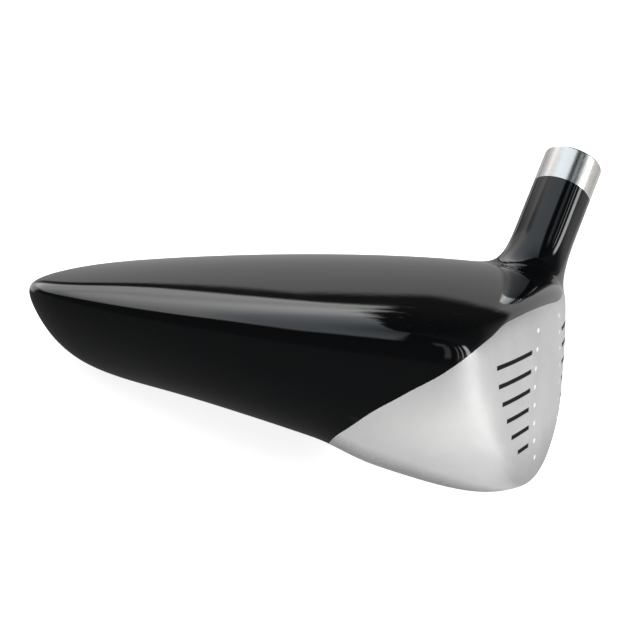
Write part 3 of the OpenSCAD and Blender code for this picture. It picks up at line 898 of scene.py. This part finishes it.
ft.links.new(flp.outputs["Is Camera Ray"], fmix.inputs[0])
ft.links.new(fdim.outputs[0], fmix.inputs[1])
ft.links.new(b.outputs[0], fmix.inputs[2])
ft.links.new(fmix.outputs[0], fout.inputs["Surface"])
fm.materials.append(fmat)
floor.visible_glossy = False
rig.stage(floor)

# world: plain white backdrop; glossy surfaces see an open-sided studio: a soft sky-like panel on the
# toe side, a grey wall behind it, a dark gap with foliage-like edges, and a bright front for the face
world = bpy.data.worlds.new("studio")
scene.world = world
world.use_nodes = True
wt = world.node_tree
bg = wt.nodes["Background"]
wout = wt.nodes["World Output"]


class Val:
    """arithmetic on shader sockets"""

    def __init__(self, v):
        self.v = v

    @staticmethod
    def op(kind, *args):
        n = wt.nodes.new("ShaderNodeMath")
        n.operation = kind
        for i, q in enumerate(args):
            q = q.v if isinstance(q, Val) else q
            if isinstance(q, (int, float)):
                n.inputs[i].default_value = q
            else:
                wt.links.new(q, n.inputs[i])
        return Val(n.outputs[0])

    def __add__(self, o): return Val.op("ADD", self, o)
    def __radd__(self, o): return Val.op("ADD", o, self)
    def __sub__(self, o): return Val.op("SUBTRACT", self, o)
    def __rsub__(self, o): return Val.op("SUBTRACT", o, self)
    def __mul__(self, o): return Val.op("MULTIPLY", self, o)
    def __rmul__(self, o): return Val.op("MULTIPLY", o, self)
    def __truediv__(self, o): return Val.op("DIVIDE", self, o)


def smooth(x, lo, hi):
    n = wt.nodes.new("ShaderNodeMapRange")
    n.interpolation_type = "SMOOTHSTEP"
    for i, q in enumerate((x, lo, hi)):
        q = q.v if isinstance(q, Val) else q
        if isinstance(q, (int, float)):
            n.inputs[i].default_value = q
        else:
            wt.links.new(q, n.inputs[i])
    return Val(n.outputs[0])


def table(x, pts):
    """straight lines between points"""
    x0, x1 = pts[0][0], pts[-1][0]
    v0, v1 = min(p[1] for p in pts), max(p[1] for p in pts)
    t = (x - x0) / (x1 - x0)
    r = wt.nodes.new("ShaderNodeValToRGB")
    e = r.color_ramp.elements
    while len(e) > 1:
        e.remove(e[-1])
    for i, (px, pv) in enumerate(pts):
        c = (pv - v0) / (v1 - v0)
        q = e[0] if i == 0 else e.new((px - x0) / (x1 - x0))
        q.position = (px - x0) / (x1 - x0)
        q.color = (c, c, c, 1)
    wt.links.new(t.v, r.inputs["Fac"])
    return Val(r.outputs["Color"]) * (v1 - v0) + v0


def blob(x, y, cx, cy, sx, sy):
    u_, v_ = (x - cx) / sx, (y - cy) / sy
    return Val.op("EXPONENT", (u_ * u_ + v_ * v_) * -1.0)


tc = wt.nodes.new("ShaderNodeTexCoord")
sep = wt.nodes.new("ShaderNodeSeparateXYZ")
wt.links.new(tc.outputs["Generated"], sep.inputs[0])
wx, wy, wz = (Val(q) for q in sep.outputs)
az_ = Val.op("ARCTAN2", wy, wx) * 57.29578
A = az_ - 360.0 * Val.op("GREATER_THAN", az_, 40.0)      # -320 .. 40, 0 points to the toe
E = Val.op("ARCSINE", wz) * 57.29578


def wnoise(scale, detail, rough):
    n = wt.nodes.new("ShaderNodeTexNoise")
    n.inputs["Scale"].default_value = scale
    n.inputs["Detail"].default_value = detail
    n.inputs["Roughness"].default_value = rough
    wt.links.new(tc.outputs["Generated"], n.inputs["Vector"])
    return Val(n.outputs["Fac"])


leaf = wnoise(9, 6, 0.65)
fine = wnoise(26, 4, 0.6)
one = 1.0

wall_hi = table(A, [(-212, 20), (-200, 21), (-190, 21), (-180, 20.5), (-176, 19.5), (-172, 17.2), (-169, 16), (-167, 15), (-164, 14),
                    (-160, 12.3), (-156, 5), (-152, -4), (-146, -12)])
wall = (0.235 + 0.15 * (one - smooth(A, -178, -171))) * smooth(E, -20, -11) * (one - smooth(E, wall_hi - 1.2, wall_hi + 0.8)) \
    * smooth(A, -222, -205) * (one - smooth(A, -152, -146))

sky_lo = table(A, [(-215, 22), (-175, 20), (-165, 17), (-160, 14.5), (-155, 8), (-150, -1), (-136, 5), (-122, 8), (-108, 15),
                   (-98, 21), (-89, 27), (-84, 32), (-75, 36), (-60, 39), (-46, 40), (-30, 44), (0, 46), (20, 47)])
sky_w = table(A, [(-165, 3), (-158, 3), (-150, 5), (-90, 6), (-60, 8), (0, 9)])
tree = table(E, [(10, -167), (20, -163), (30, -159), (45, -154), (60, -147), (70, -138), (80, -120), (90, -60)]) \
    + (leaf - 0.5) * 16.0
level = table(E, [(-5, 0.9), (10, 0.8), (20, 0.8), (28, 1.5), (36, 1.65), (45, 1.3), (60, 1.2), (75, 0.8), (90, 0.3)])
sky = level * smooth((E - sky_lo) / sky_w, 0, 1) * smooth(A - tree, -1.5, 3.0) * (one - smooth(A, 6, 20)) \
    * (one - 0.55 * smooth(one - E / 20.0, 0.0, 1.0) * smooth(A + 158.0, -2, 3) * (one - smooth(A, -150, -140)))
low_sky = 0.6 * smooth(A, -154, -149) * (one - smooth(A, -134, -124)) * smooth(E, -14, -8) * (one - smooth(E, 3, 10))
sky = sky + low_sky
glints = 0.9 * smooth(fine, 0.66, 0.74) * smooth(E, 18, 22) * (one - smooth(A, -160, -150)) * smooth(A, -186, -176)

front = table(A, [(-300, 0), (-285, 0.45), (-272, 0.95), (-262, 1.2), (-250, 1.1), (-235, 0.75), (-215, 0.42), (-200, 0.28), (-184, 0)]) \
    * table(E, [(-90, 0.1), (-76, 0.15), (-64, 0.8), (-50, 1.15), (-30, 1.05), (-12, 0.95), (0, 0.9), (10, 0.85), (20, 0.6), (28, 0.25), (38, 0.05)])
bars = smooth(E, 8, 20) * (one - smooth(E, 44, 54))
key = (6.5 * smooth(A, -272.5, -271.5) * (one - smooth(A, -264, -260)) + 3.2 * smooth(A, -284, -283) * (one - smooth(A, -281, -280))
       + 1.5 * smooth(A, -294, -293) * (one - smooth(A, -291.5, -290.5)) + 0.6 * smooth(A, -315, -312) * (one - smooth(A, -307, -304))) * bars \
    + 0.6 * blob(A, E, -314, 54, 7, 5) + 0.9 * blob(A, E, -262, -14, 14, 12)
under = 0.05 * (one - smooth(E, -8, 4)) + 0.015

total = wall + sky + glints + front + key + under
blue = smooth(E, 34, 52)
tint = wt.nodes.new("ShaderNodeMix")
tint.data_type = "RGBA"
wt.links.new(blue.v, tint.inputs[0])
tint.inputs[6].default_value = (1, 1, 1, 1)
tint.inputs[7].default_value = (0.92, 1.02, 1.10, 1)
wt.links.new(tint.outputs[2], bg.inputs["Color"])
wt.links.new(total.v, bg.inputs["Strength"])


def plain(v):
    n = wt.nodes.new("ShaderNodeBackground")
    n.inputs["Color"].default_value = (1, 1, 1, 1)
    n.inputs["Strength"].default_value = v
    return n.outputs[0]


lp = wt.nodes.new("ShaderNodeLightPath")
m1 = wt.nodes.new("ShaderNodeMixShader")
wt.links.new(lp.outputs["Is Glossy Ray"], m1.inputs[0])
wt.links.new(plain(0.9), m1.inputs[1])
wt.links.new(bg.outputs[0], m1.inputs[2])
m2 = wt.nodes.new("ShaderNodeMixShader")
wt.links.new(lp.outputs["Is Camera Ray"], m2.inputs[0])
wt.links.new(m1.outputs[0], m2.inputs[1])
wt.links.new(plain(1.05), m2.inputs[2])
wt.links.new(m2.outputs[0], wout.inputs["Surface"])

# ------------------------------------------------------------------ camera
K = 0.977
az, el, roll, D, F = rad(12.56), rad(10.38), rad(16.41), 399.38 * K, 2052.16
t0 = np.array([3.65, -46.71, -2.81]) * K
d = np.array([math.cos(az) * math.cos(el), math.sin(az) * math.cos(el), math.sin(el)])
C = t0 + D * d
f = -d
r = np.cross(f, [0, 0, 1.0]); r /= np.linalg.norm(r)
u = np.cross(r, f)
Rr = r * math.cos(roll) + u * math.sin(roll)
Uu = -r * math.sin(roll) + u * math.cos(roll)
cd = bpy.data.cameras.new("cam")
cam = bpy.data.objects.new("cam", cd)
scene.collection.objects.link(cam)
cd.sensor_fit = "HORIZONTAL"
cd.sensor_width = 36.0
cd.lens = F / 630 * 36
cd.clip_start, cd.clip_end = 0.01, 20
M = Matrix.Identity(4)
for i in range(3):
    M[i][0], M[i][1], M[i][2] = Rr[i], Uu[i], d[i]
    M[i][3] = ((C - TIP) / 1000)[i]
cam.matrix_world = M
scene.camera = cam
scene.view_settings.view_transform = "Standard"

json.dump({"cad": cad_box, "visual": [list(map(float, c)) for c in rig.bounds()]}, open("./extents.json", "w"))
